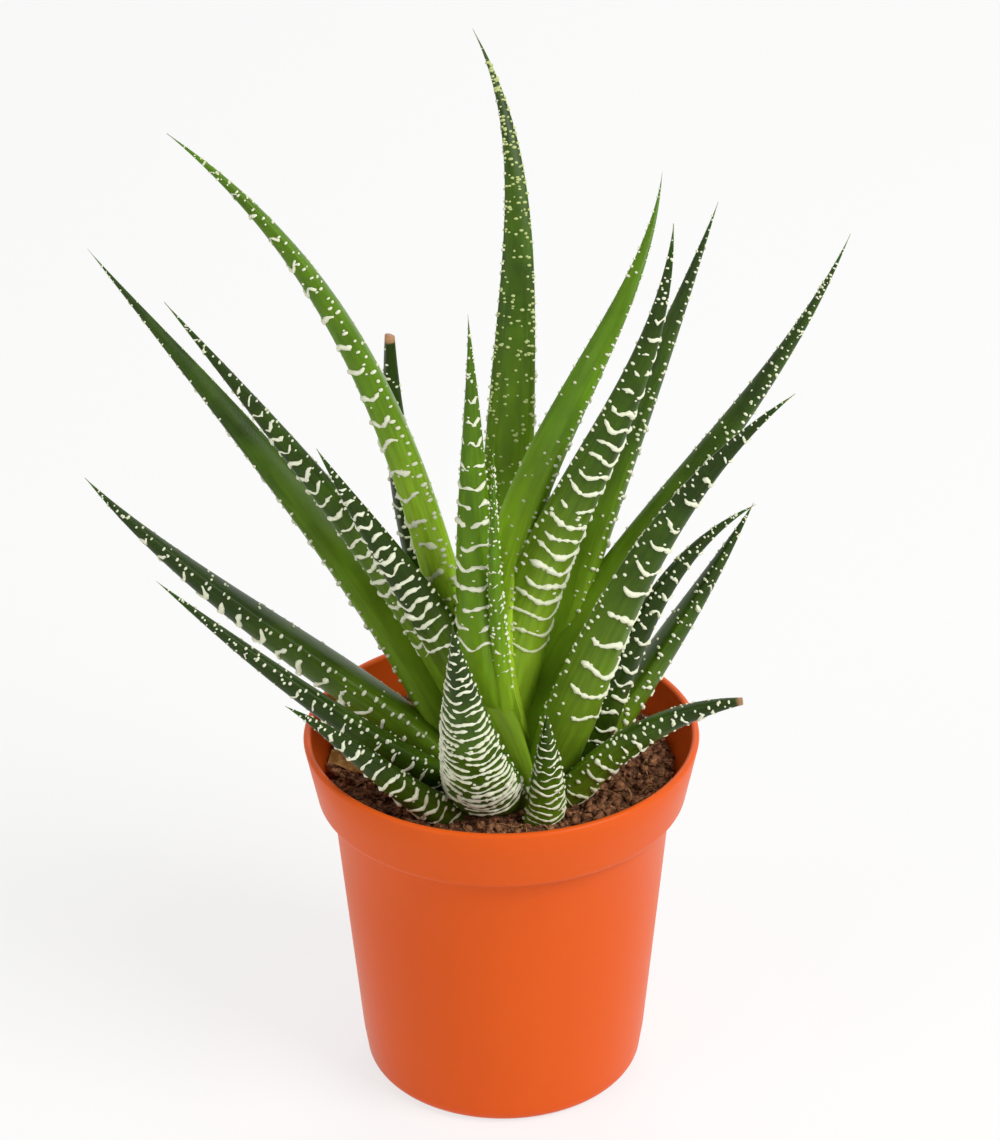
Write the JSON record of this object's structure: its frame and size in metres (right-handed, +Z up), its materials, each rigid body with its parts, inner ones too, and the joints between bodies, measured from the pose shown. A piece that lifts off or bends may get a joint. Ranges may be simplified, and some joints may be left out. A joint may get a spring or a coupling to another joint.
{
  "type": "potted haworthia",
  "caption": "Small banded haworthia with long pointed leaves in a round tapered plastic nursery pot with its soil.",
  "frame": {"origin": "centre of the flat underside of the pot, on the surface it stands on", "axes": "+Z up along the pot's axis, +X to the right and +Y away from the viewer who faces the plant's front"},
  "size_m": [0.1131, 0.0601, 0.1593],
  "materials": {
    "pot": "injection-moulded terracotta-orange polypropylene, satin gloss",
    "soil": "moist peat and coir crumbs, matt",
    "stem": "pale green-brown stem tissue",
    "leaf": "waxy green leaf with raised pearly white bands and dots",
    "dry_leaf": "withered papery tan leaf"
  },
  "bodies": {
    "root": {"dry_fibre": "dry_leaf", "dry_husk": "dry_leaf", "leaf_back_cut": "leaf", "leaf_back_tall": "leaf", "leaf_centre_banded": "leaf", "leaf_centre_dark": "leaf", "leaf_centre_thin": "leaf", "leaf_front_cone": "leaf", "leaf_front_tiny": "leaf", "leaf_left_arching": "leaf", "leaf_left_banded": "leaf", "leaf_left_far": "leaf", "leaf_left_low": "leaf", "leaf_left_short": "leaf", "leaf_left_small": "leaf", "leaf_left_thin": "leaf", "leaf_right_banded": "leaf", "leaf_right_dark": "leaf", "leaf_right_dark_small": "leaf", "leaf_right_long": "leaf", "leaf_right_low": "leaf", "leaf_right_small": "leaf", "leaf_right_smooth": "leaf", "leaf_right_thick": "leaf", "pot": "pot", "soil": "soil", "stem": "stem"}
  },
  "joints": []
}
